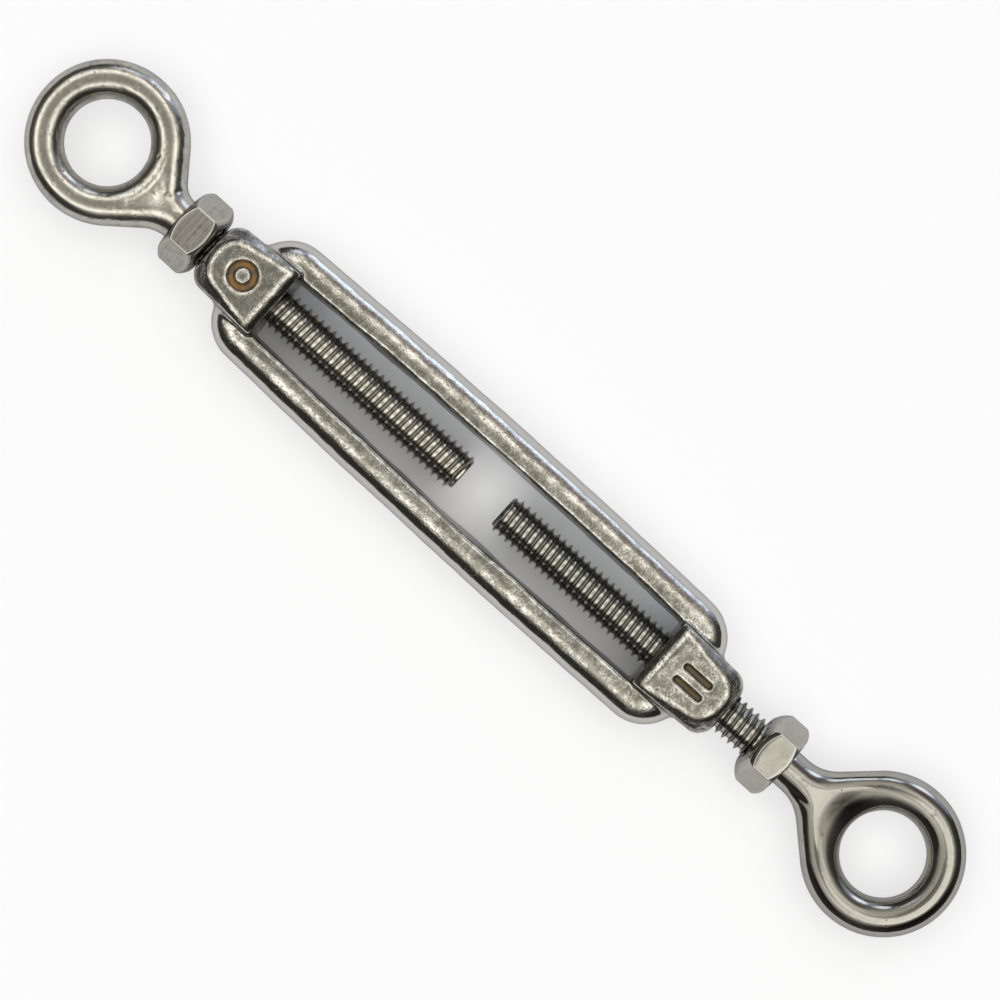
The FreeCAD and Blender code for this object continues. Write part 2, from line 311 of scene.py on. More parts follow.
def wrap(shape: Field, lines: list[Array], settle: int = 3) -> Skin:
    """Lay a quad skin on the zero surface of a field.

    The field is read on a box grid. Each cell that the surface crosses gets one point, at the mean
    of the crossings of its sides, and each grid side that the surface crosses gets one quad, from
    the four cells round it. The points then slide along the gradient on to the surface.

    Args:
        shape: The field, negative inside.
        lines: The grid's coordinates along X, Y and Z.
        settle: How many times the points are moved on to the surface.

    Returns:
        The closed skin, its faces outward, marked with its bend and with its lean, which is 1
        less the cosine of its angle from level.
    """
    grid = np.stack(np.meshgrid(*lines, indexing="ij"), axis=-1)
    values = shape(grid.reshape(-1, 3)).reshape(grid.shape[:3])
    inside = values < 0.0
    count = np.zeros(np.array(inside.shape) - 1, dtype=np.int8)
    for i, j, k in product((0, 1), repeat=3):
        count += inside[i:i + count.shape[0], j:j + count.shape[1], k:k + count.shape[2]]
    crossed = (count > 0) & (count < 8)
    number = np.full(crossed.shape, -1, dtype=np.int64)
    number[crossed] = np.arange(crossed.sum())
    cells = np.argwhere(crossed)
    total = np.zeros((len(cells), 3))
    hits = np.zeros(len(cells))
    for start, end in cell_sides():
        first = tuple((cells + start).T)
        last = tuple((cells + end).T)
        cut = inside[first] != inside[last]
        gap = np.where(cut, values[first] - values[last], 1.0)
        share = (values[first] / gap)[:, None]
        total += np.where(cut[:, None], grid[first] + share * (grid[last] - grid[first]), 0.0)
        hits += cut
    points = total / hits[:, None]
    faces = []
    for axis in range(3):
        unit = np.eye(3, dtype=int)
        right, up = unit[(axis + 1) % 3], unit[(axis + 2) % 3]
        ahead = np.roll(inside, -1, axis=axis)
        places = np.argwhere(inside != ahead)
        limits = np.array(inside.shape) - 2 + unit[axis]
        lowest = 1 - unit[axis]
        whole = ((places >= lowest) & (places <= limits - unit[axis])).all(axis=1)
        places = places[whole]
        around = [places - right - up, places - up, places, places - right]
        quads = np.stack([number[tuple(cell.T)] for cell in around], axis=1)
        leaving = inside[tuple(places.T)]
        faces.append(np.where(leaving[:, None], quads, quads[:, ::-1]))
    skin = Skin(points, np.concatenate(faces))
    largest = 0.5 * min(np.diff(line).min() for line in lines)
    for _ in range(settle):
        slope = slope_of(shape, skin.points)
        steep = np.maximum((slope ** 2).sum(axis=1), 0.04)
        step = (shape(skin.points) / steep)[:, None] * slope
        length = np.linalg.norm(step, axis=1, keepdims=True)
        skin.points = skin.points - step * np.minimum(1.0, largest / np.maximum(length, 1e-9))
    slope = slope_of(shape, skin.points)
    normals = slope / np.maximum(np.linalg.norm(slope, axis=1, keepdims=True), 1e-9)
    skin.marks["bend"] = skin.bend(normals, 2)
    skin.marks["lean"] = 1.0 - np.abs(normals[:, 2])
    return skin


def round_x(x: Array, radius: Array, angle: Array) -> Array:
    """Places round the X axis, the angle measured from +Y towards +Z."""
    return np.stack([x, radius * np.cos(angle), radius * np.sin(angle)], axis=-1)


def grid_line(stretches: list[tuple[float, float, float]]) -> Array:
    """Coordinates along one axis, finer over some stretches than others.

    Args:
        stretches: For each stretch its start, its end and its spacing; each starts where the
            last one ends.

    Returns:
        The coordinates in rising order.
    """
    parts = []
    for start, end, spacing in stretches:
        parts.append(np.linspace(start, end, max(2, round((end - start) / spacing) + 1))[:-1])
    return np.concatenate(parts + [np.array([stretches[-1][1]])])


class PlateMark(Enum):
    """The plain sunk mark on a boss's upper plate."""

    RING = "one ring"
    BARS = "two bars"


@dataclass(frozen=True)
class Boss:
    """One boss of the casting, measured outwards from the body's middle."""

    mark: PlateMark
    plate_inner_x: float
    middle_inner_x: float
    end_x: float = 59.85
    plate_end_x: float = 58.5
    half_height: float = 6.75
    middle_widths: tuple[float, float] = (14.2, 12.9)
    plate_widths: tuple[float, float] = (12.5, 8.1)
    middle_corner: float = 3.1
    plate_corner: float = 3.3
    inner_corner: float = 0.9
    shoulder_turn: float = 39.0
    rim_blend: float = 0.5
    wall_blend: float = 0.5
    crown_width: float = 1.4
    crown_drop: float = 0.08
    ring_radius: float = 2.05
    ring_half_width: float = 0.65
    bar_half_length: float = 2.4
    bar_offset: float = 1.4
    bar_half_width: float = 0.6
    mark_depth: float = 0.6
    lip_width: float = 0.75
    lip_drop: float = 0.11
    amber: float = 1.0

    def mark_distance(self, along: Array, across: Array) -> Array:
        """Distance in plan to the mark's edge, negative over the mark.

        The ring is a band about a circle; a bar is a band about a short line. The mark is in the
        middle of the plate.

        Args:
            along: Distance outwards from the body's middle.
            across: Distance across the plate.

        Returns:
            One distance a point.
        """
        along = along - 0.5 * (self.plate_inner_x + self.plate_end_x)
        if self.mark is PlateMark.RING:
            return np.abs(np.hypot(along, across) - self.ring_radius) - self.ring_half_width
        past_end = np.maximum(np.abs(along) - self.bar_half_length, 0.0)
        return np.hypot(past_end, np.abs(across) - self.bar_offset) - self.bar_half_width

    def relief(self, distance: Array) -> Array:
        """Depth of the mark at distances to its edge: a soft lip, a steep wall, a level floor."""
        lip = np.clip(1.0 - (distance - 0.1) / self.lip_width, 0.0, 1.0) ** 2
        return self.mark_depth * fade(0.12, -0.28, distance) + self.lip_drop * lip

    def field(self, along: Array, across: Array, height: Array) -> Array:
        """Signed distance to the boss: a trapezoid in plan with raised plates above and below.

        A leaning shoulder runs from the plate's outline down to the wall's: it is the plane field
        that joins the distance past the plate's outline and the height above the plate.

        Args:
            along: Distance outwards from the body's middle.
            across: Distance from the screws' axis in plan.
            height: Height above the screws' axis.

        Returns:
            One value a point, negative inside.
        """
        wall = self.outline(along, across, self.middle_widths, self.middle_inner_x, self.end_x,
                            self.middle_corner)
        plate = self.outline(along, across, self.plate_widths, self.plate_inner_x,
                             self.plate_end_x, self.plate_corner)
        crown = self.crown_drop * np.clip(1.0 + plate / self.crown_width, 0.0, 1.0) ** 2
        relief = self.relief(self.mark_distance(along, across))
        rise = np.abs(height) - self.half_height + crown + np.where(height > 0.0, relief, 0.0)
        turn = math.radians(self.shoulder_turn)
        lean = plate * math.sin(turn) + rise * math.cos(turn)
        return soft_max(soft_max(rise, lean, self.rim_blend), wall, self.wall_blend)

    def outline(self, along: Array, across: Array, widths: tuple[float, float], inner_x: float,
                end_x: float, corner: float) -> Array:
        """Distance in plan to a trapezoid with rounded corners.

        Args:
            along: Distance outwards from the body's middle.
            across: Distance from the screws' axis.
            widths: The trapezoid's widths at its inner and outer end.
            inner_x: Where the inner end lies.
            end_x: Where the outer end lies.
            corner: The outer corners' radius.

        Returns:
            One distance a point, negative inside.
        """
        share = (along - inner_x) / (end_x - inner_x)
        half_width = 0.5 * (widths[0] + (widths[1] - widths[0]) * share)
        plan = round_max((np.abs(across) - half_width) * 0.98, along - end_x, corner)
        return round_max(plan, inner_x - along, self.inner_corner)


@dataclass
class CastBody:
    """The body: two bosses joined by two bowed rails, cast in one piece and bored for the screws."""

    middle: Array
    finish: "CastFinish"
    left: Boss = Boss(PlateMark.RING, plate_inner_x=46.3, middle_inner_x=44.8)
    right: Boss = Boss(PlateMark.BARS, plate_inner_x=45.6, middle_inner_x=44.0, amber=0.15)
    corner_x: float = 45.7
    corner_y: float = 4.55
    rail_reach: float = 8.0
    rail_half_height: float = 4.0
    edge_stretch: float = 1.1
    rail_inner: float = 1.55
    wall_draft: float = 0.15
    bow: float = 0.6
    hole_radius: float = 3.9
    mouth: float = 0.4
    fillet: float = 1.0
    waves: Layers = ((0.08, 0.0, 11.0), (0.03, 17.0, 2.6), (0.012, 5.0, 1.1))
    pit_depth: float = 0.07

    def rail_field(self, points: Array) -> Array:
        """Signed distance to both rails.

        The reach of a point is its distance outwards from the rail's centre line, which is a
        shallow arc between the corner centres and then turns a quarter round them. The section
        has a round outside, a tenth wider than it is high, and a slightly leaning wall inside.

        Args:
            points: Places, one to a row.

        Returns:
            One value a point, negative inside.
        """
        x, y, z = points.T
        along = np.abs(x)
        across = np.abs(y)
        upper = y > 0.0
        shift = np.where(upper, -0.16 + 0.24 * x / 40.0, 0.12 + 0.30 * x / 40.0)
        corner_y = self.corner_y + shift
        bow_radius = (self.corner_x ** 2 + self.bow ** 2) / (2.0 * self.bow)
        straight = np.hypot(along, across - corner_y - self.bow + bow_radius) - bow_radius
        corner = np.hypot(along - self.corner_x, np.maximum(across - corner_y, 0.0))
        reach = np.where(along < self.corner_x, straight, corner)
        outer = bar_section((reach - self.rail_reach) / self.edge_stretch, z, self.rail_half_height)
        ripple = 0.13 * self.noise(points, 4.2, 2.0) + 0.05 * self.noise(points, 1.7)
        wall = self.rail_inner + self.wall_draft * np.abs(z) + ripple - reach
        rails = soft_max(outer, wall * 0.99, 0.8)
        return soft_max(rails, 4.6 - across, 0.2)

    def roughcast(self, points: Array) -> Array:
        """The casting's own unevenness in millimetres, from long waves down to grain.

        Args:
            points: Places, one to a row.

        Returns:
            One height a point.
        """
        pits = self.noise.pits(points + 43.0, 1.1, 0.42)
        flat = fade(2.6, 3.8, np.abs(points[:, 2]))
        return self.noise.layers(points, self.waves) - self.pit_depth * pits * flat

    def field(self, points: Array) -> Array:
        """Signed distance to the whole casting, less the screws' holes.

        Args:
            points: Places, one to a row.

        Returns:
            One value a point, negative inside.
        """
        x, y, z = points.T
        bosses = np.minimum(self.left.field(-x, y, z), self.right.field(x, y, z))
        solid = soft_min(bosses, self.rail_field(points), self.fillet)
        along = np.abs(x)
        inner_x = np.where(x < 0.0, self.left.middle_inner_x, self.right.middle_inner_x)
        inner_mouth = np.clip(self.mouth + inner_x - along, 0.0, self.mouth)
        outer_mouth = np.clip(self.mouth - self.left.end_x + along, 0.0, self.mouth)
        hole = self.hole_radius + inner_mouth + outer_mouth - np.hypot(y, z)
        return soft_max(solid - self.roughcast(points), hole, 0.2)

    def build(self) -> Skin:
        """Wrap the casting, with marks for the residue in its sunk marks and how amber it is.

        Returns:
            The skin.
        """
        self.noise = LatticeNoise(11)
        boss_x = 43.4
        end_x = self.left.end_x + 0.6
        lines = [
            grid_line([(-end_x, -boss_x, 0.31), (-boss_x, boss_x, 0.52), (boss_x, end_x, 0.31)]),
            grid_line([(-14.2, 14.2, 0.275)]),
            grid_line([(-7.3, 7.3, 0.27)]),
        ]
        skin = wrap(self.field, lines)
        x, y, z = skin.points.T
        residue = np.zeros(len(x))
        for boss, outwards in ((self.left, -x), (self.right, x)):
            over = fade(0.05, -0.2, boss.mark_distance(outwards, y))
            deep = fade(boss.half_height - 0.2, boss.half_height - 0.5, z)
            residue = np.maximum(residue, over * deep * (z > 4.0))
        skin.marks["residue"] = residue
        skin.marks["amber"] = np.where(x < 0.0, self.left.amber, self.right.amber)
        skin.marks["cast"] = fade(2.4, 3.9, np.abs(z))
        return skin

    def make(self) -> bpy.types.Object:
        """Build the piece and tie it to the frame.

        Returns:
            The dressed object.
        """
        piece = self.build().piece("cast_open_body", self.middle)
        piece.data.materials.append(self.finish.material())
        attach(piece, "body")
        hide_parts("turnbuckle_body")
        return piece


@dataclass(frozen=True)
class Dent:
    """A small dent or pit: where it is, how far it spreads and how deep it is."""

    x: float
    y: float
    spread_x: float
    spread_y: float
    depth: float

    def drop(self, x: Array, y: Array) -> Array:
        """Depth at places in plan, a bell with those spreads."""
        bell = ((x - self.x) / self.spread_x) ** 2 + ((y - self.y) / self.spread_y) ** 2
        return self.depth * np.exp(-bell)


@dataclass(frozen=True)
class ScrewThread:
    """A rolled screw thread along X, from its chamfered tip into the eye's neck."""

    hand: int
    tip_x: float
    neck_x: float
    crest_x: float
    neck_radius: float
    crest_radius: float = 3.84
    root_radius: float = 3.04
    pitch: float = 1.4111
    chamfer: float = 0.95
    waviness: float = 0.035
    pit_depth: float = 0.05
    columns: int = 56
    phases: tuple[float, ...] = (0.0, 0.08, 0.15, 0.20, 0.26, 0.35, 0.44, 0.475, 0.50, 0.525, 0.56,
                                 0.65, 0.74, 0.80, 0.85, 0.92)

    def profile(self, phase: Array) -> Array:
        """Radius over one pitch, the crest at half way: a shallow wide root, steep flanks and a
        narrow crest.

        Args:
            phase: Share of the pitch, from 0 at one root to 1 at the next.

        Returns:
            One radius a value.
        """
        rise = 1.0 - np.abs(2.0 * phase - 1.0)
        rooted = soft_max(rise * 1.80 - 0.74, rise * 0.13, 0.22)
        shape = soft_min(rooted, np.full_like(rise, 1.0), 0.10)
        return self.root_radius + (self.crest_radius - self.root_radius) * shape

    def build(self, noise: LatticeNoise) -> Skin:
        """Lay the thread's grid: each row follows the helix, so a turn ends one pitch further on.

        A point at turn k, phase f and angle a lies at x = pitch (k + f + hand a / 2 pi), and its
        radius is the profile's at f, cut down by the tip's chamfer and the neck's radius. Rows
        past the ends are pressed on to the end planes, and a fan closes each end.

        Args:
            noise: The noise that wears the crests.

        Returns:
            The closed skin.
        """
        low, high = sorted((self.tip_x, self.neck_x))
        first = math.floor((low - self.crest_x) / self.pitch) - 2
        last = math.ceil((high - self.crest_x) / self.pitch) + 2
        turns, phases = np.meshgrid(np.arange(first, last + 1), self.phases, indexing="ij")
        rows = (turns + phases).ravel()
        share = np.arange(self.columns + 1) / self.columns
        angle = np.broadcast_to(share * 2.0 * math.pi, (len(rows), len(share)))
        along = rows[:, None] + self.hand * (share[None, :] - 0.25) - 0.5
        x = self.crest_x + self.pitch * along
        radius = self.profile(np.broadcast_to(np.tile(self.phases, last - first + 1)[:, None], x.shape))
        crest = fade(0.75, 1.0, (radius - self.root_radius) / (self.crest_radius - self.root_radius))
        flat = round_x(x, radius, angle).reshape(-1, 3)
        wear = self.waviness * noise(flat, 1.3) - self.pit_depth * noise.pits(flat + 9.0, 0.9, 0.5)
        radius = radius + wear.reshape(x.shape) * crest
        inwards = 1.0 if self.tip_x < self.neck_x else -1.0
        from_tip = (x - self.tip_x) * inwards
        cone = self.crest_radius - self.chamfer + np.maximum(from_tip, 0.0) * 1.05
        radius = soft_min(radius, cone, 0.25)
        inside_neck = (x - self.neck_x) * inwards > -1.0
        radius = np.where(inside_neck, np.minimum(radius, self.neck_radius - 0.3), radius)
        clamped = np.clip(x, low, high)
        return self.close(round_x(clamped, radius, angle), x, crest)

    def close(self, points: Array, x: Array, crest: Array) -> Skin:
        """Join the grid's seam one pitch on, drop what lies past the ends and cap them.

        Args:
            points: The grid's places.
            x: Each place along X before it was pressed on to an end.
            crest: How near each place is to the crest, 0 to 1.

        Returns:
            The closed skin.
        """
        per_turn = len(self.phases)
        row_count, column_count = x.shape
        low, high = sorted((self.tip_x, self.neck_x))
        number = np.arange(row_count * column_count).reshape(row_count, column_count)
        shift = -self.hand * per_turn
        ahead = np.arange(row_count) - shift
        ahead_ok = (ahead >= 0) & (ahead < row_count)
        number[ahead_ok, -1] = number[ahead[ahead_ok], 0]
        corners = [number[:-1, :-1], number[:-1, 1:], number[1:, 1:], number[1:, :-1]]
        quads = np.stack([corner.ravel() for corner in corners], axis=1)
        flat_x = x.ravel()
        used = ((flat_x[quads].max(axis=1) > low) & (flat_x[quads].min(axis=1) < high))
        seam = np.arange(column_count - 1) == column_count - 2
        seam_row = np.repeat((~ahead_ok[:-1]) | (~ahead_ok[1:]), column_count - 1)
        used &= ~(seam_row & np.tile(seam, row_count - 1))
        quads = quads[used]
        flat = points.reshape(-1, 3)
        keep, packed = np.unique(quads, return_inverse=True)
        skin = Skin(flat[keep], packed.reshape(quads.shape), {})
        caps = []
        for number_of_end, plane in enumerate((low, high)):
            rim = np.abs(skin.points[:, 0] - plane) < 1e-9
            skin.faces = skin.faces[~rim[skin.faces].all(axis=1)]
            caps.append(self.fan(skin, plane, len(skin.points) + number_of_end))
        skin.points = np.concatenate([skin.points, [[low, 0.0, 0.0], [high, 0.0, 0.0]]])
        skin.faces = np.concatenate([skin.faces] + caps)
        skin.marks["bend"] = np.concatenate([crest.ravel()[keep] * 2.4 - 0.9, np.zeros(2)])
        skin.marks["thread"] = np.ones(len(skin.points))
        skin.marks["lean"] = np.zeros(len(skin.points))
        return skin.turned_out()

    @staticmethod
    def fan(skin: Skin, plane: float, middle: int) -> Array:
        """Triangles from an end's open rim to its middle.

        Args:
            skin: The skin with an open rim in the plane.
            plane: The end plane's place along X.
            middle: The number of the middle point.

        Returns:
            Faces of three corners, the last one given twice.
        """
        heads = skin.faces.ravel()
        tails = np.roll(skin.faces, -1, axis=1).ravel()
        size = len(skin.points) + 2
        forward = heads * size + tails
        single = ~np.isin(forward, tails * size + heads) & (heads != tails)
        on_plane = np.abs(skin.points[:, 0] - plane) < 1e-9
        rim = single & on_plane[heads] & on_plane[tails]
        a, b = tails[rim], heads[rim]
        centre = np.full(len(a), middle)
        return np.stack([a, b, centre, centre], axis=1)


@dataclass
class EyeBolt:
    """An eye forged in one piece with its neck and screw.

    Places along the bolt are measured outwards from the body's middle.
    """

    end: str
    side: int
    middle: Array
    finish: "ForgedFinish"
    ring_x: float
    ring_y: float
    neck_x: float
    neck_radius: float
    flare_x: float
    hollow: float
    thread: ScrewThread
    dents: tuple[Dent, ...]
    dish: Dent
    pitting: float
    flat_height: float
    ring_radius: float = 11.05
    bar_radius: float = 3.45
    web_half_height: float = 3.43
    flare_length: float = 9.0
    waves: Layers = ((0.035, 0.0, 8.0), (0.012, 13.0, 2.8))
    # how much the dish adds to the lean mark: painted shade on the web
    web_painted_shade: float = 0.055
    grid: float = 0.275

    def past_neck(self, along: Array) -> Array:
        """How far a place has left the neck: 0 at the nut, 1 where the web meets the ring."""
        return fade(self.neck_x, self.flare_x + self.flare_length, along)

    def web_field(self, along: Array, across: Array, height: Array) -> Array:
        """Signed distance to the neck and the web that widens from it to the ring.

        In plan the web lies between two lines that leave the neck's edges and touch the ring's
        outer circle. It stops at the ring's middle circle and at the spokes through the two
        points of touch, where its rounded edge is the ring's own outer half.

        Args:
            along: Distance outwards from the body's middle.
            across: Place along Y.
            height: Height above the screws' axis.

        Returns:
            One value a point, negative inside.
        """
        outer = self.ring_radius + self.web_half_height
        half_width = self.neck_radius - 0.02
        from_ring = np.stack([along - self.ring_x, across - self.ring_y])
        wedge = np.full(along.shape, -np.inf)
        spokes = np.full(along.shape, -np.inf)
        for edge in (1.0, -1.0):
            reach = np.array([self.flare_x - self.ring_x, edge * half_width - self.ring_y])
            spread = math.acos(outer / math.hypot(*reach))
            bearing = math.atan2(reach[1], reach[0]) - edge * spread
            normal = np.array([math.cos(bearing), math.sin(bearing)])
            onwards = np.array([normal[1], -normal[0]]) * edge
            wedge = np.maximum(wedge, normal @ from_ring - outer)
            spokes = np.maximum(spokes, onwards @ from_ring)
        plan = soft_min(wedge, np.abs(across) - half_width, self.hollow)
        tall = self.neck_radius + (self.web_half_height - self.neck_radius) * self.past_neck(along)
        web = bar_section(plan, height, tall)
        web = np.maximum(web, self.ring_radius - np.hypot(*from_ring))
        return np.maximum(web, spokes)

    def field(self, points: Array) -> Array:
        """Signed distance to the ring, web and neck, with the forging's waves, dents and pits.

        The ring is a circle's band: its section is the distance to the ring's middle circle. The
        ring and the web are a little flattened above and below. The dish thins the forging:
        heights there are read as that much greater than they are.

        Args:
            points: Places, one to a row.

        Returns:
            One value a point, negative inside.
        """
        x, y, z = points.T
        along = x * self.side
        z = z * (1.0 + self.dish.drop(x, y))
        out = np.hypot(along - self.ring_x, y - self.ring_y) - self.ring_radius
        ring = np.hypot(out, z) - self.bar_radius
        forging = np.minimum(ring, self.web_field(along, y, z))
        neck_top = self.neck_radius + 0.04
        top = neck_top + (self.flat_height - neck_top) * self.past_neck(along)
        forging = soft_max(forging, np.abs(z) - top, 0.2)
        forging = soft_max(forging, self.neck_x - along, 0.35)
        waves = self.noise.layers(points, self.waves)
        pits = self.pitting * self.noise.pits(points + 3.0, 1.15, 0.5)
        drop = sum(dent.drop(x, y) for dent in self.dents) * (z > 0.0)
        return forging - waves + pits + drop

    def build(self) -> Skin:
        """Wrap the forging and add the screw's shell, which ends inside the neck.

        The dish adds to the lean mark, so that the web there gets the shoulders' painted shade.

        Returns:
            The two shells as one skin.
        """
        self.noise = LatticeNoise(23 + self.side)
        reach = self.ring_radius + self.bar_radius + 0.5
        low, high = sorted((self.side * (self.neck_x - 0.6), self.side * (self.ring_x + reach)))
        lines = [
            grid_line([(low, high, self.grid)]),
            grid_line([(self.ring_y - reach, self.ring_y + reach, self.grid)]),
            grid_line([(-4.6, 4.6, self.grid)]),
        ]
        forging = wrap(self.field, lines)
        forging.marks["thread"] = np.zeros(len(forging.points))
        # painted shade: the dish deepens the web's lean mark, which darkens its colour
        forging.marks["lean"] += self.web_painted_shade * self.dish.drop(*forging.points[:, :2].T)
        return forging.joined(self.thread.build(self.noise))

    def make(self) -> bpy.types.Object:
        """Build the piece and tie it to the frame.

        Returns:
            The dressed object.
        """
        piece = self.build().piece(f"{self.end}_eye_and_screw", self.middle)
        piece.data.materials.append(self.finish.material())
        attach(piece, f"{self.end}_eye")
        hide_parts(f"{self.end}_eye_bolt")
        return piece


@dataclass
class LockNut:
    """A hexagon lock nut on the screw, a flat uppermost, chamfered on both faces."""

    end: str
    side: int
    middle: Array
    finish: "NutFinish"
    boss_face_x: float
    face_radii: tuple[float, float]
    chamfer_slopes: tuple[float, float]
    thickness: float = 6.6
    half_flats: float = 6.5
    hole_radius: float = 3.9
    mouth: float = 0.45
    edge: float = 0.16
    bulge: float = 0.28
    waves: Layers = ((0.02, 0.0, 4.0), (0.008, 0.0, 1.4))
    corner_power: int = 80
    facet_columns: int = 26
    arc_steps: int = 4
    side_rows: int = 10

    def hexagon(self, angle: Array) -> Array:
        """Radius of a hexagon with slightly rounded corners.

        It is half the width over flats, times the sum over the six flats of the cosine of the
        angle to each flat, to a high power, to that power's negative root.

        Args:
            angle: Angle round the screw from +Y towards +Z, in radians.

        Returns:
            One radius an angle.
        """
        total = np.zeros_like(angle)
        for flat in range(6):
            facing = np.cos(angle - math.radians(30 + 60 * flat))
            total += np.maximum(facing, 0.0) ** self.corner_power
        return self.half_flats * total ** (-1.0 / self.corner_power)

    def loop(self, radius: Array) -> Array:
        """The nut's section at each angle as a closed loop with rounded corners.

        The corners run from the hole's inner mouth over the boss's face, its chamfer, the flat,
        the neck's chamfer and face and back into the hole. Each is rounded by a parabola between
        points one edge width away on either side, and the runs between are divided evenly. The
        two chamfers bulge by a parabola towards the sharp corner that they cut off.

        Args:
            radius: The hexagon's radius at each angle.

        Returns:
            Places as (row, angle, distance from the boss's face and radius).
        """
        face_a, face_b = self.face_radii
        slope_a, slope_b = self.chamfer_slopes
        flat = np.ones_like(radius)
        wide = self.hole_radius + self.mouth
        corners = np.array([
            [self.mouth * flat, self.hole_radius * flat],
            [0.0 * flat, wide * flat],
            [0.0 * flat, face_a * flat],
            [(radius - face_a) * slope_a, radius],
            [self.thickness - (radius - face_b) * slope_b, radius],
            [self.thickness * flat, face_b * flat],
            [self.thickness * flat, wide * flat],
            [(self.thickness - self.mouth) * flat, self.hole_radius * flat],
        ]).transpose(0, 2, 1)
        to_last = np.roll(corners, 1, axis=0) - corners
        to_next = np.roll(corners, -1, axis=0) - corners
        start = corners + self.edge * to_last / np.linalg.norm(to_last, axis=-1, keepdims=True)
        end = corners + self.edge * to_next / np.linalg.norm(to_next, axis=-1, keepdims=True)
        t = np.linspace(0.0, 1.0, self.arc_steps)[None, :, None, None]
        arcs = ((1.0 - t) ** 2 * start[:, None] + 2.0 * t * (1.0 - t) * corners[:, None]
                + t ** 2 * end[:, None])
        s = np.linspace(0.0, 1.0, self.side_rows + 2)[None, 1:-1, None, None]
        runs = end[:, None] * (1.0 - s) + np.roll(start, -1, axis=0)[:, None] * s
        for run, face, past in ((2, 2, 3), (4, 5, 4)):
            sharp = np.stack([corners[face][:, 0], corners[past][:, 1]], axis=-1)
            towards = sharp - 0.5 * (corners[face] + corners[past])
            runs[run] += 2.0 * s[0] * (1.0 - s[0]) * self.bulge * towards
        return np.concatenate([arcs, runs], axis=1).reshape(-1, len(radius), 2)

    def build(self) -> Skin:
        """Carry the section loop round the screw, with columns drawn towards the six corners.

        Returns:
            The closed skin.
        """
        noise = LatticeNoise(51 + self.side)
        within = np.sin(np.linspace(-1.0, 1.0, self.facet_columns + 1)[:-1] * math.pi / 2.0)
        angle = np.radians((30.0 + 60.0 * np.arange(6))[:, None] + 30.0 * within[None, :]).ravel()
        loop = self.loop(self.hexagon(angle))
        x = self.side * (self.boss_face_x + loop[..., 0])
        radius = loop[..., 1]
        waves = noise.layers(round_x(x, radius, angle).reshape(-1, 3), self.waves)
        radius = radius + waves.reshape(radius.shape) * fade(4.4, 5.2, radius)
        places = round_x(x, radius, angle)
        rows, columns = radius.shape
        number = np.arange(rows * columns).reshape(rows, columns)
        below = np.roll(number, -1, axis=0)
        quads = np.stack([number, np.roll(number, -1, axis=1), np.roll(below, -1, axis=1), below])
        skin = Skin(places.reshape(-1, 3), quads.reshape(4, -1).T).turned_out()
        rounds = np.zeros(rows)
        rounds.reshape(-1, self.arc_steps + self.side_rows)[:, :self.arc_steps] = 1.0
        sharp = np.abs(((angle / math.radians(60)) + 0.5) % 1.0 - 0.5) * 60.0
        ridge = np.maximum(rounds[:, None], fade(2.2, 0.8, sharp)[None, :])
        skin.marks["bend"] = (ridge * (radius > 4.6)).ravel() * 1.6
        return skin

    def make(self) -> bpy.types.Object:
        """Build the piece and tie it to the frame.

        Returns:
            The dressed object.
        """
        piece = self.build().piece(f"{self.end}_hexagon_nut", self.middle)
        piece.data.materials.append(self.finish.material())
        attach(piece, f"{self.end}_nut")
        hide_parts(f"{self.end}_lock_nut")
        return piece


class Board:
    """A node tree with short calls for adding nodes and joining them."""

    def __init__(self, tree: bpy.types.NodeTree) -> None:
        """Start on an empty tree."""
        self.tree = tree
        self.tree.nodes.clear()

    def add(self, kind: str, settings: dict | None = None, **inputs: object) -> bpy.types.Node:
        """Add a node.

        Args:
            kind: The node's type.
            settings: Its plain properties.
            inputs: Values or output sockets for its inputs; an underscore stands for a space,
                and i0, i1 and so on stand for inputs by number.

        Returns:
            The node.
        """
        node = self.tree.nodes.new(kind)
        for name, value in (settings or {}).items():
            setattr(node, name, value)
        self.feed(node, **inputs)
        return node

    def feed(self, node: bpy.types.Node, **inputs: object) -> None:
        """Set a node's inputs or join sockets to them, named as in add."""
        for name, value in inputs.items():
            by_number = name[0] == "i" and name[1:].isdigit()
            socket = node.inputs[int(name[1:])] if by_number else node.inputs[name.replace("_", " ")]
            if isinstance(value, bpy.types.NodeSocket):
                self.tree.links.new(value, socket)
            else:
                socket.default_value = value

    def math(self, operation: str, first: object, second: object = 0.0) -> bpy.types.NodeSocket:
        """One Math node's result."""
        settings = {"operation": operation}
        return self.add("ShaderNodeMath", settings, i0=first, i1=second).outputs[0]

    def times(self, *values: object) -> bpy.types.NodeSocket:
        """The product of sockets and numbers, in their order."""
        return reduce(lambda first, second: self.math("MULTIPLY", first, second), values)

    def ramp(self, value: object, low: float, high: float) -> bpy.types.NodeSocket:
        """A level-ended rise from 0 to 1 while value goes from low to high."""
        settings = {"interpolation_type": "SMOOTHSTEP"}
        node = self.add("ShaderNodeMapRange", settings, Value=value, From_Min=low, From_Max=high)
        return node.outputs[0]

    def mix(self, share: object, first: object, second: object) -> bpy.types.NodeSocket:
        """One colour mixed into another; colours may be sockets or three numbers."""
        values = [(*c, 1.0) if isinstance(c, tuple) else c for c in (first, second)]
        node = self.add("ShaderNodeMix", {"data_type": "RGBA"}, i0=share, i6=values[0], i7=values[1])
        return node.outputs[2]

    def noise(self, vector: object, scale: object, detail: float = 2.0,
              roughness: float = 0.5) -> bpy.types.NodeSocket:
        """A noise texture's value, from 0 to 1."""
        node = self.add("ShaderNodeTexNoise", None, Vector=vector, Scale=scale, Detail=detail,
                        Roughness=roughness)
        return node.outputs[0]

    def mark(self, name: str) -> bpy.types.NodeSocket:
        """A number that the mesh carries at each point."""
        settings = {"attribute_name": name}
        return self.add("ShaderNodeAttribute", settings).outputs["Fac"]


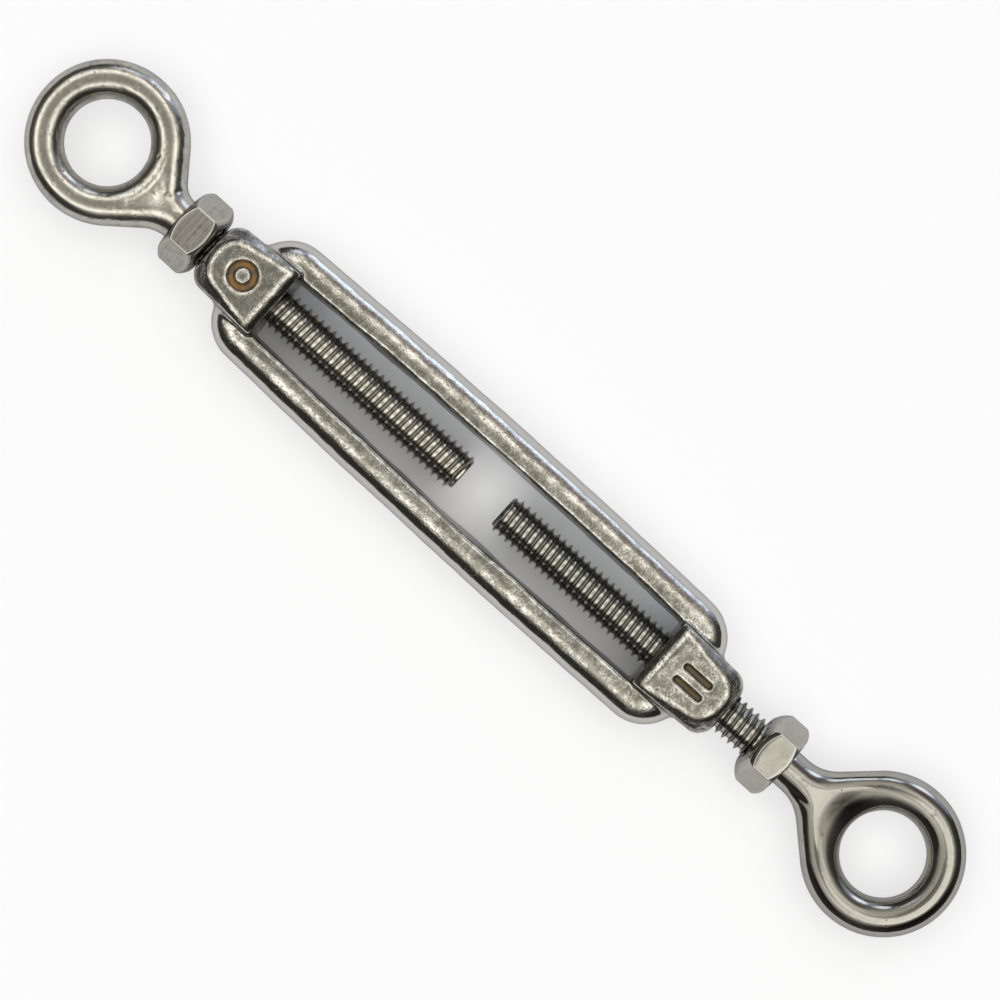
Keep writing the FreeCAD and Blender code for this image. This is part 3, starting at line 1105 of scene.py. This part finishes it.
class Effect(Enum):
    """The shader effects that several finishes share."""

    GRAIN = "casting grain"
    WEAR = "worn edges"
    LINES = "drawn lines"
    SPECKS = "dark specks"


class EffectShop:
    """Builds each shared node group once and places it in materials."""

    SOCKETS = {
        Effect.GRAIN: (("Vector", "Size"), ("Height", "Tone")),
        Effect.WEAR: (("Bend", "Vector"), ("Ridge", "Hollow")),
        Effect.LINES: (("Vector", "Stretch"), ("Height",)),
        Effect.SPECKS: (("Vector", "Size", "Amount"), ("Mask", "Height")),
    }
    VECTORS = ("Vector", "Stretch")

    def __init__(self) -> None:
        """Start with no group built."""
        self.groups: dict[Effect, bpy.types.NodeTree] = {}

    def group(self, effect: Effect) -> bpy.types.NodeTree:
        """The effect's node group, built at its first use.

        Args:
            effect: Which effect.

        Returns:
            The group.
        """
        if effect in self.groups:
            return self.groups[effect]
        tree = bpy.data.node_groups.new(effect.value, "ShaderNodeTree")
        ins, outs = self.SOCKETS[effect]
        for name in ins:
            kind = "NodeSocketVector" if name in self.VECTORS else "NodeSocketFloat"
            tree.interface.new_socket(name, in_out="INPUT", socket_type=kind)
        for name in outs:
            tree.interface.new_socket(name, in_out="OUTPUT", socket_type="NodeSocketFloat")
        board = Board(tree)
        given = board.add("NodeGroupInput").outputs
        results = getattr(self, effect.name.lower())(board, given)
        board.add("NodeGroupOutput", None, **dict(zip(outs, results)))
        self.groups[effect] = tree
        return tree

    def place(self, board: Board, effect: Effect, **inputs: object) -> bpy.types.NodeOutputs:
        """Place the effect in a material.

        Args:
            board: The material's board.
            effect: Which effect.
            inputs: Values or sockets for the group's inputs.

        Returns:
            The group's outputs, by name.
        """
        return board.add("ShaderNodeGroup", {"node_tree": self.group(effect)}, **inputs).outputs

    @staticmethod
    def grain(board: Board, given: bpy.types.NodeOutputs) -> tuple:
        """Cast grain: cloudy noise with rounded pits where a coarser noise is high."""
        scale = board.math("DIVIDE", 1.0, given["Size"])
        cloud = board.noise(given["Vector"], scale, 4.0, 0.55)
        cells = board.add("ShaderNodeTexVoronoi", {"feature": "SMOOTH_F1"}, Vector=given["Vector"],
                          Scale=board.times(scale, 0.8), Smoothness=0.4)
        pit = board.ramp(cells.outputs["Distance"], 0.42, 0.12)
        patch = board.ramp(board.noise(given["Vector"], board.times(scale, 0.3)), 0.45, 0.62)
        sunk = board.times(pit, patch, 0.45)
        coarse = board.noise(given["Vector"], board.times(scale, 0.22), 3.0, 0.6)
        tone = board.math("ADD", coarse, board.times(cloud, 0.5))
        return board.math("SUBTRACT", cloud, sunk), board.math("SUBTRACT", tone, sunk)

    @staticmethod
    def wear(board: Board, given: bpy.types.NodeOutputs) -> tuple:
        """Ridges rubbed bright and hollows left dull, broken up by noise."""
        breakup = board.noise(given["Vector"], 900.0, 3.0, 0.6)
        push = board.times(board.math("SUBTRACT", breakup, 0.5), 0.5)
        bent = board.math("ADD", given["Bend"], push)
        return board.ramp(bent, 0.35, 1.3), board.ramp(bent, -0.35, -1.6)

    @staticmethod
    def lines(board: Board, given: bpy.types.NodeOutputs) -> tuple:
        """Fine lines, as from brushing or drawing: noise stretched along one way."""
        along = board.add("ShaderNodeVectorMath", {"operation": "MULTIPLY"}, i0=given["Vector"],
                          i1=given["Stretch"]).outputs[0]
        fine = board.noise(along, 1.0, 3.0, 0.65)
        coarse = board.noise(along, 0.22, 2.0, 0.5)
        return (board.math("ADD", fine, board.times(coarse, 0.6)),)

    @staticmethod
    def specks(board: Board, given: bpy.types.NodeOutputs) -> tuple:
        """Scattered dark specks, each a small pit."""
        scale = board.math("DIVIDE", 1.0, given["Size"])
        cells = board.add("ShaderNodeTexVoronoi", {"feature": "F1"}, Vector=given["Vector"],
                          Scale=scale).outputs
        lucky = board.add("ShaderNodeSeparateColor", None, Color=cells["Color"]).outputs[0]
        chosen = board.math("LESS_THAN", lucky, given["Amount"])
        ragged = board.noise(given["Vector"], board.times(scale, 3.0))
        edge = board.math("ADD", cells["Distance"], board.times(ragged, 0.25))
        mask = board.times(chosen, board.ramp(edge, 0.36, 0.22))
        return mask, board.math("SUBTRACT", 1.0, mask)


EFFECTS = EffectShop()


class Finish:
    """What all the finishes share: a metal shader on its own board."""

    name: str

    def start(self) -> tuple[Board, bpy.types.Material, bpy.types.Node, bpy.types.NodeSocket]:
        """Make the material with its shader and its object coordinates.

        Returns:
            The board, the material, the shader and the coordinates.
        """
        material = bpy.data.materials.new(self.name)
        material.use_nodes = True
        board = Board(material.node_tree)
        shader = board.add("ShaderNodeBsdfPrincipled", None, Metallic=1.0,
                           Specular_Tint=(0.6, 0.6, 0.62, 1.0))
        board.add("ShaderNodeOutputMaterial", None, Surface=shader.outputs[0])
        place = board.add("ShaderNodeTexCoord").outputs["Object"]
        return board, material, shader, place

    @staticmethod
    def bump(board: Board, shader: bpy.types.Node, *layers: tuple[object, float]) -> None:
        """Stack bumps on the shader's normal.

        Args:
            board: The material's board.
            shader: The shader.
            layers: For each layer its height socket and how many millimetres its height of 1 is.
        """
        normal = None
        for height, depth in layers:
            node = board.add("ShaderNodeBump", None, Height=height, Distance=depth * MM)
            if normal is not None:
                board.feed(node, Normal=normal)
            normal = node.outputs[0]
        board.feed(shader, Normal=normal)


@dataclass(frozen=True)
class CastFinish(Finish):
    """Cast stainless steel, tumbled and polished: bright rubbed rounds over a pitted skin."""

    name: str = "cast steel"
    bright: Colour = (0.52, 0.508, 0.47)
    dull: Colour = (0.215, 0.207, 0.175)
    grime: Colour = (0.085, 0.075, 0.055)
    amber: Colour = (0.20, 0.108, 0.033)
    brown: Colour = (0.075, 0.058, 0.028)

    def material(self) -> bpy.types.Material:
        """Build the material.

        Returns:
            The material.
        """
        board, material, shader, place = self.start()
        cast = board.mark("cast")
        grain = EFFECTS.place(board, Effect.GRAIN, Vector=place, Size=0.00042)
        wear = EFFECTS.place(board, Effect.WEAR, Bend=board.mark("bend"), Vector=place)
        lines = EFFECTS.place(board, Effect.LINES, Vector=place, Stretch=(350.0, 5200.0, 5200.0))
        specks = EFFECTS.place(board, Effect.SPECKS, Vector=place, Size=0.0006, Amount=0.5)
        patches = board.ramp(board.noise(place, 320.0, 2.0), 0.42, 0.56)
        pocks = board.times(specks["Mask"], patches, cast)
        dullness = board.times(board.ramp(grain["Tone"], 0.98, 0.58), cast)
        colour = board.mix(dullness, self.bright, self.dull)
        colour = board.mix(board.times(pocks, 0.8), colour, self.grime)
        colour = board.mix(board.times(wear["Hollow"], 0.75), colour, self.grime)
        colour = board.mix(board.times(wear["Ridge"], 0.6), colour, self.bright)
        stain = board.mark("residue")
        dried = board.mix(board.mark("amber"), self.brown, self.amber)
        mottled = board.mix(board.ramp(grain["Tone"], 0.5, 0.82), self.grime, dried)
        colour = board.mix(stain, colour, mottled)
        rough = board.math("ADD", 0.11, board.times(dullness, 0.1))
        rough = board.math("SUBTRACT", rough, board.times(wear["Ridge"], 0.05))
        rough = board.math("ADD", rough, board.times(stain, 0.25))
        metallic = board.math("SUBTRACT", 1.0, board.times(stain, 0.5))
        board.feed(shader, Base_Color=colour, Roughness=rough, Metallic=metallic)
        grainy = board.times(grain["Height"], board.math("ADD", 0.15, cast))
        self.bump(board, shader, (grainy, 0.036), (board.math("SUBTRACT", 1.0, pocks), 0.03),
                  (lines["Height"], 0.002))
        return material


@dataclass(frozen=True)
class ForgedFinish(Finish):
    """A forged and polished eye with a rolled screw thread."""

    name: str
    slot: str
    bright: Colour
    dull: Colour
    roughness: float
    specks: float
    # strength of the painted shade on the leaning shoulders
    painted_shade: float = 0.0
    thread_roughness: float = 0.18
    # dark colour for specks and hollows, and for the painted shade on the shoulders
    grime: Colour = (0.07, 0.065, 0.055)

    def leaning(self, board: Board) -> bpy.types.NodeSocket:
        """Painted shade on the forging's shoulders, where it leans by about 10 to 30 degrees.

        Its colour is darkened as a stand-in for the dark surroundings that these slopes reflect.

        Args:
            board: The material's board.

        Returns:
            The share of painted shade, from 0 to its set strength.
        """
        lean = board.mark("lean")
        return board.times(board.ramp(lean, 0.002, 0.040), board.ramp(lean, 0.19, 0.08), self.painted_shade)

    def material(self) -> bpy.types.Material:
        """Build the material.

        Returns:
            The material.
        """
        board, material, shader, place = self.start()
        thread = board.mark("thread")
        grain = EFFECTS.place(board, Effect.GRAIN, Vector=place, Size=0.0008)
        wear = EFFECTS.place(board, Effect.WEAR, Bend=board.mark("bend"), Vector=place)
        specks = EFFECTS.place(board, Effect.SPECKS, Vector=place, Size=0.0009, Amount=self.specks)
        lines = EFFECTS.place(board, Effect.LINES, Vector=place, Stretch=(6500.0, 700.0, 700.0))
        colour = board.mix(board.ramp(grain["Tone"], 0.4, 0.95), self.dull, self.bright)
        colour = board.mix(board.times(specks["Mask"], 0.6), colour, self.grime)
        colour = board.mix(board.times(wear["Hollow"], 0.2), colour, self.grime)
        # painted shade: the leaning shoulders are darkened towards grime
        colour = board.mix(self.leaning(board), colour, self.grime)
        cloudy = board.times(board.math("SUBTRACT", grain["Tone"], 0.7), -0.10)
        rough = board.math("ADD", self.roughness, cloudy)
        rough = board.math("ADD", rough, board.times(thread, self.thread_roughness - self.roughness))
        board.feed(shader, Base_Color=colour, Roughness=rough)
        drawn = board.times(lines["Height"], thread)
        self.bump(board, shader, (grain["Height"], 0.4 * self.roughness ** 2),
                  (specks["Height"], 0.02), (drawn, 0.0015))
        return material


@dataclass(frozen=True)
class NutFinish(Finish):
    """A machined nut: brushed round the screw, or left smooth."""

    name: str
    slot: str
    bright: Colour
    dull: Colour
    roughness: float
    brushing: float
    grime: Colour = (0.08, 0.075, 0.06)

    def material(self) -> bpy.types.Material:
        """Build the material.

        Returns:
            The material.
        """
        board, material, shader, place = self.start()
        lines = EFFECTS.place(board, Effect.LINES, Vector=place, Stretch=(9000.0, 60.0, 60.0))
        wear = EFFECTS.place(board, Effect.WEAR, Bend=board.mark("bend"), Vector=place)
        grain = EFFECTS.place(board, Effect.GRAIN, Vector=place, Size=0.0012)
        colour = board.mix(board.ramp(grain["Tone"], 0.4, 0.95), self.dull, self.bright)
        streak = board.times(board.ramp(lines["Height"], 0.95, 0.6), self.brushing)
        colour = board.mix(board.times(streak, 0.18), colour, self.grime)
        colour = board.mix(wear["Ridge"], colour, self.bright)
        rough = board.math("ADD", self.roughness, board.times(streak, 0.12))
        board.feed(shader, Base_Color=colour, Roughness=rough)
        self.bump(board, shader, (lines["Height"], 0.0025 * self.brushing + 0.0008),
                  (grain["Height"], 0.004))
        return material


@dataclass(frozen=True)
class SoftLight:
    """A soft round patch of light in the sky."""

    azimuth: float
    polar: float
    inner: float
    outer: float
    colour: Colour

    def direction(self) -> tuple[float, float, float]:
        """The unit vector towards the patch, its azimuth measured from +X towards +Y."""
        polar, azimuth = math.radians(self.polar), math.radians(self.azimuth)
        return (math.sin(polar) * math.cos(azimuth), math.sin(polar) * math.sin(azimuth),
                math.cos(polar))


@dataclass(frozen=True)
class Sky:
    """The studio: a warm broad light overhead, a dark band above the horizon and a cool window."""

    stops: tuple[tuple[float, Colour], ...] = (
        (0.0, (0.34, 0.33, 0.305)),
        (8.0, (0.60, 0.585, 0.54)),
        (14.0, (1.05, 1.025, 0.95)),
        (20.0, (1.55, 1.51, 1.41)),
        (27.0, (2.35, 2.30, 2.15)),
        (36.0, (2.35, 2.30, 2.15)),
        (42.0, (1.65, 1.61, 1.50)),
        (48.0, (1.00, 0.975, 0.91)),
        (54.0, (0.42, 0.41, 0.385)),
        (60.0, (0.17, 0.165, 0.155)),
        (68.0, (0.075, 0.075, 0.07)),
        (88.0, (0.045, 0.045, 0.045)),
        (100.0, (0.20, 0.20, 0.20)),
    )
    windows: tuple[SoftLight, ...] = (
        SoftLight(azimuth=180.0, polar=9.0, inner=8.0, outer=14.0, colour=(0.38, 0.365, 0.33)),
        SoftLight(azimuth=345.0, polar=66.0, inner=10.0, outer=39.0, colour=(0.03, 0.03, 0.03)),
        SoftLight(azimuth=258.0, polar=71.0, inner=21.0, outer=33.0, colour=(0.045, 0.045, 0.042)),
        SoftLight(azimuth=0.0, polar=15.0, inner=6.0, outer=13.0, colour=(1.8, 1.76, 1.63)),
        SoftLight(azimuth=88.0, polar=48.0, inner=5.0, outer=17.0, colour=(0.55, 0.46, 0.44)),
        SoftLight(azimuth=92.0, polar=86.0, inner=10.0, outer=34.0, colour=(0.62, 0.70, 0.90)),
        SoftLight(azimuth=94.0, polar=74.0, inner=5.0, outer=13.0, colour=(2.1, 2.35, 2.75)),
        SoftLight(azimuth=122.0, polar=66.0, inner=4.0, outer=13.0, colour=(1.7, 1.85, 2.1)),
        SoftLight(azimuth=155.0, polar=46.0, inner=5.0, outer=16.0, colour=(1.5, 1.55, 1.65)),
    )
    seen: Colour = (1.0, 1.0, 1.0)

    def build(self) -> None:
        """Set the world: colour by the angle from the zenith, plus the windows."""
        world = bpy.data.worlds.new("studio")
        world.use_nodes = True
        bpy.context.scene.world = world
        board = Board(world.node_tree)
        direction = board.add("ShaderNodeTexCoord").outputs["Generated"]
        up = board.add("ShaderNodeSeparateXYZ", None, Vector=direction).outputs[2]
        polar = board.math("DIVIDE", board.math("ARCCOSINE", up), math.pi)
        ramp = board.add("ShaderNodeValToRGB", None, Fac=polar)
        ramp.color_ramp.interpolation = "EASE"
        elements = ramp.color_ramp.elements
        while len(elements) < len(self.stops):
            elements.new(1.0)
        for element, (degrees, colour) in zip(elements, self.stops):
            element.position = degrees / 180.0
            element.color = (*colour, 1.0)
        light = ramp.outputs[0]
        for window in self.windows:
            settings = {"operation": "DOT_PRODUCT"}
            near = board.add("ShaderNodeVectorMath", settings, i0=direction, i1=window.direction())
            mask = board.ramp(near.outputs["Value"], math.cos(math.radians(window.outer)),
                              math.cos(math.radians(window.inner)))
            light = board.mix(mask, light, window.colour)
        sky = board.add("ShaderNodeBackground", None, Color=light, Strength=1.0)
        plain = board.add("ShaderNodeBackground", None, Color=(*self.seen, 1.0), Strength=1.0)
        camera = board.add("ShaderNodeLightPath").outputs["Is Camera Ray"]
        mixed = board.add("ShaderNodeMixShader", None, i0=camera, i1=sky.outputs[0],
                          i2=plain.outputs[0])
        board.add("ShaderNodeOutputWorld", None, Surface=mixed.outputs[0])


@dataclass(frozen=True)
class Table:
    """The pale table that the turnbuckle lies on."""

    half_width: float = 4.0
    colour: Colour = (0.89, 0.905, 0.955)
    lift: float = 0.62
    shade_half_length: float = 50.0
    shade_half_width: float = 8.5
    shade_edge: float = 3.0

    def under_body(self, board: Board, middle: Array) -> bpy.types.NodeSocket:
        """1 under the body's window, 0 elsewhere: there the table keeps its full shade.

        Args:
            board: The material's board.
            middle: The body's middle in the frame, in millimetres.

        Returns:
            The mask.
        """
        place = board.add("ShaderNodeTexCoord").outputs["Object"]
        offset = board.add("ShaderNodeVectorMath", {"operation": "SUBTRACT"}, i0=place,
                           i1=tuple(middle * MM)).outputs[0]
        parts = board.add("ShaderNodeSeparateXYZ", None, Vector=offset).outputs
        masks = []
        for part, half in ((parts[0], self.shade_half_length), (parts[1], self.shade_half_width)):
            away = board.math("ABSOLUTE", part)
            masks.append(board.ramp(away, (half + self.shade_edge) * MM, half * MM))
        return board.times(*masks)

    def build(self, middle: Array) -> None:
        """Lay the table at height 0: a pale matt surface, lifted to white where it is seen.

        Args:
            middle: The body's middle in the frame, in millimetres.
        """
        mesh = bpy.data.meshes.new("table")
        side = self.half_width
        corners = [(-side, -side, 0.0), (side, -side, 0.0), (side, side, 0.0), (-side, side, 0.0)]
        mesh.from_pydata(corners, [], [(0, 1, 2, 3)])
        table = bpy.data.objects.new("table", mesh)
        bpy.context.scene.collection.objects.link(table)
        material = bpy.data.materials.new("pale table")
        material.use_nodes = True
        board = Board(material.node_tree)
        matt = board.add("ShaderNodeBsdfDiffuse", None, Color=(*self.colour, 1.0))
        white = board.add("ShaderNodeEmission", None, Color=(1.0, 1.0, 1.0, 1.0), Strength=1.0)
        seen = board.add("ShaderNodeLightPath").outputs["Is Camera Ray"]
        open_table = board.math("SUBTRACT", 1.0, self.under_body(board, middle))
        share = board.times(seen, open_table, self.lift)
        mixed = board.add("ShaderNodeMixShader", None, i0=share, i1=matt.outputs[0],
                          i2=white.outputs[0])
        board.add("ShaderNodeOutputMaterial", None, Surface=mixed.outputs[0])
        mesh.materials.append(material)


@dataclass(frozen=True)
class PhotoView:
    """The camera straight above the turnbuckle, turned so that it lies across the picture."""

    x: float = 6.32
    y: float = 1.10
    height: float = 600.0
    turn: float = 42.12
    width_seen: float = 173.9

    def build(self, middle: Array) -> None:
        """Place the camera.

        Args:
            middle: The body's middle in the frame, in millimetres.
        """
        camera = bpy.data.cameras.new("photo view")
        camera.sensor_width = 36.0
        camera.lens = camera.sensor_width * self.height / self.width_seen
        camera.clip_start = 0.01
        camera.clip_end = 50.0
        holder = bpy.data.objects.new("photo view", camera)
        bpy.context.scene.collection.objects.link(holder)
        holder.location = Vector((middle + np.array([self.x, self.y, self.height])) * MM)
        holder.rotation_euler = (0.0, 0.0, math.radians(self.turn))
        bpy.context.scene.camera = holder


def body_middle() -> Array:
    """The middle of the body's box in the frame, in millimetres."""
    low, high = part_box("turnbuckle_body")
    return np.array((low + high) / 2.0) / MM


def main() -> None:
    """Build every piece, the table, the light and the view."""
    logging.basicConfig(level=logging.INFO, format="%(name)s: %(message)s")
    middle = body_middle()
    satin = ForgedFinish(name="satin forged steel", slot="satin_eye", bright=(0.48, 0.465, 0.42),
                         dull=(0.31, 0.298, 0.26), roughness=0.21, specks=0.26)
    # bright eye: base colours darker than the satin eye's, partly its finish, partly painted shade
    glossy = ForgedFinish(name="bright forged steel", slot="bright_eye", bright=(0.37, 0.36, 0.33),
                          dull=(0.33, 0.32, 0.285), roughness=0.11, specks=0.07, painted_shade=0.8)
    brushed = NutFinish(name="brushed nut", slot="brushed_nut", bright=(0.42, 0.405, 0.37),
                        dull=(0.33, 0.315, 0.28), roughness=0.2, brushing=1.0)
    smooth = NutFinish(name="smooth nut", slot="smooth_nut", bright=(0.42, 0.41, 0.37),
                       dull=(0.36, 0.35, 0.31), roughness=0.14, brushing=0.25)
    left_thread = ScrewThread(hand=-1, tip_x=-1.35, neck_x=-67.3, crest_x=-13.65, neck_radius=4.0)
    right_thread = ScrewThread(hand=1, tip_x=7.95, neck_x=73.9, crest_x=12.80, neck_radius=3.55)
    pieces = [
        CastBody(middle, CastFinish()),
        EyeBolt("left", -1, middle, satin, ring_x=86.0, ring_y=1.45, neck_x=67.3, neck_radius=4.0,
                flare_x=69.7, hollow=1.6, thread=left_thread, pitting=0.10, flat_height=3.37,
                dents=(Dent(-71.3, 1.6, 0.45, 0.35, 0.16), Dent(-73.2, 0.3, 0.5, 0.25, 0.1),
                       Dent(-70.8, 3.4, 0.35, 0.5, 0.15), Dent(-77.3, 5.6, 0.3, 0.4, 0.1),
                       Dent(-78.6, 4.0, 0.25, 0.3, 0.1)),
                dish=Dent(-74.5, 1.0, 2.6, 3.0, 0.05)),
        EyeBolt("right", 1, middle, glossy, ring_x=97.0, ring_y=0.1, neck_x=73.9, neck_radius=3.55,
                flare_x=79.5, hollow=2.2, thread=right_thread, pitting=0.03, flat_height=3.5,
                dents=(Dent(79.2, -2.35, 2.0, 0.5, 0.2), Dent(87.3, 1.6, 0.4, 0.5, 0.1)),
                dish=Dent(90.3, 0.8, 4.4, 5.2, 1.1)),
        LockNut("left", -1, middle, brushed, boss_face_x=60.65, face_radii=(5.9, 6.1),
                chamfer_slopes=(0.85, 0.9)),
        LockNut("right", 1, middle, smooth, boss_face_x=67.25, face_radii=(5.2, 6.4),
                chamfer_slopes=(0.9, 0.9)),
    ]
    for maker in pieces:
        made = maker.make()
        log.info("%s: %d points, %d faces", made.name, len(made.data.vertices),
                 len(made.data.polygons))
    Table().build(middle)
    Sky().build()
    PhotoView().build(middle)
    bpy.context.scene.view_settings.view_transform = "Standard"


if __name__ == "__main__":
    main()
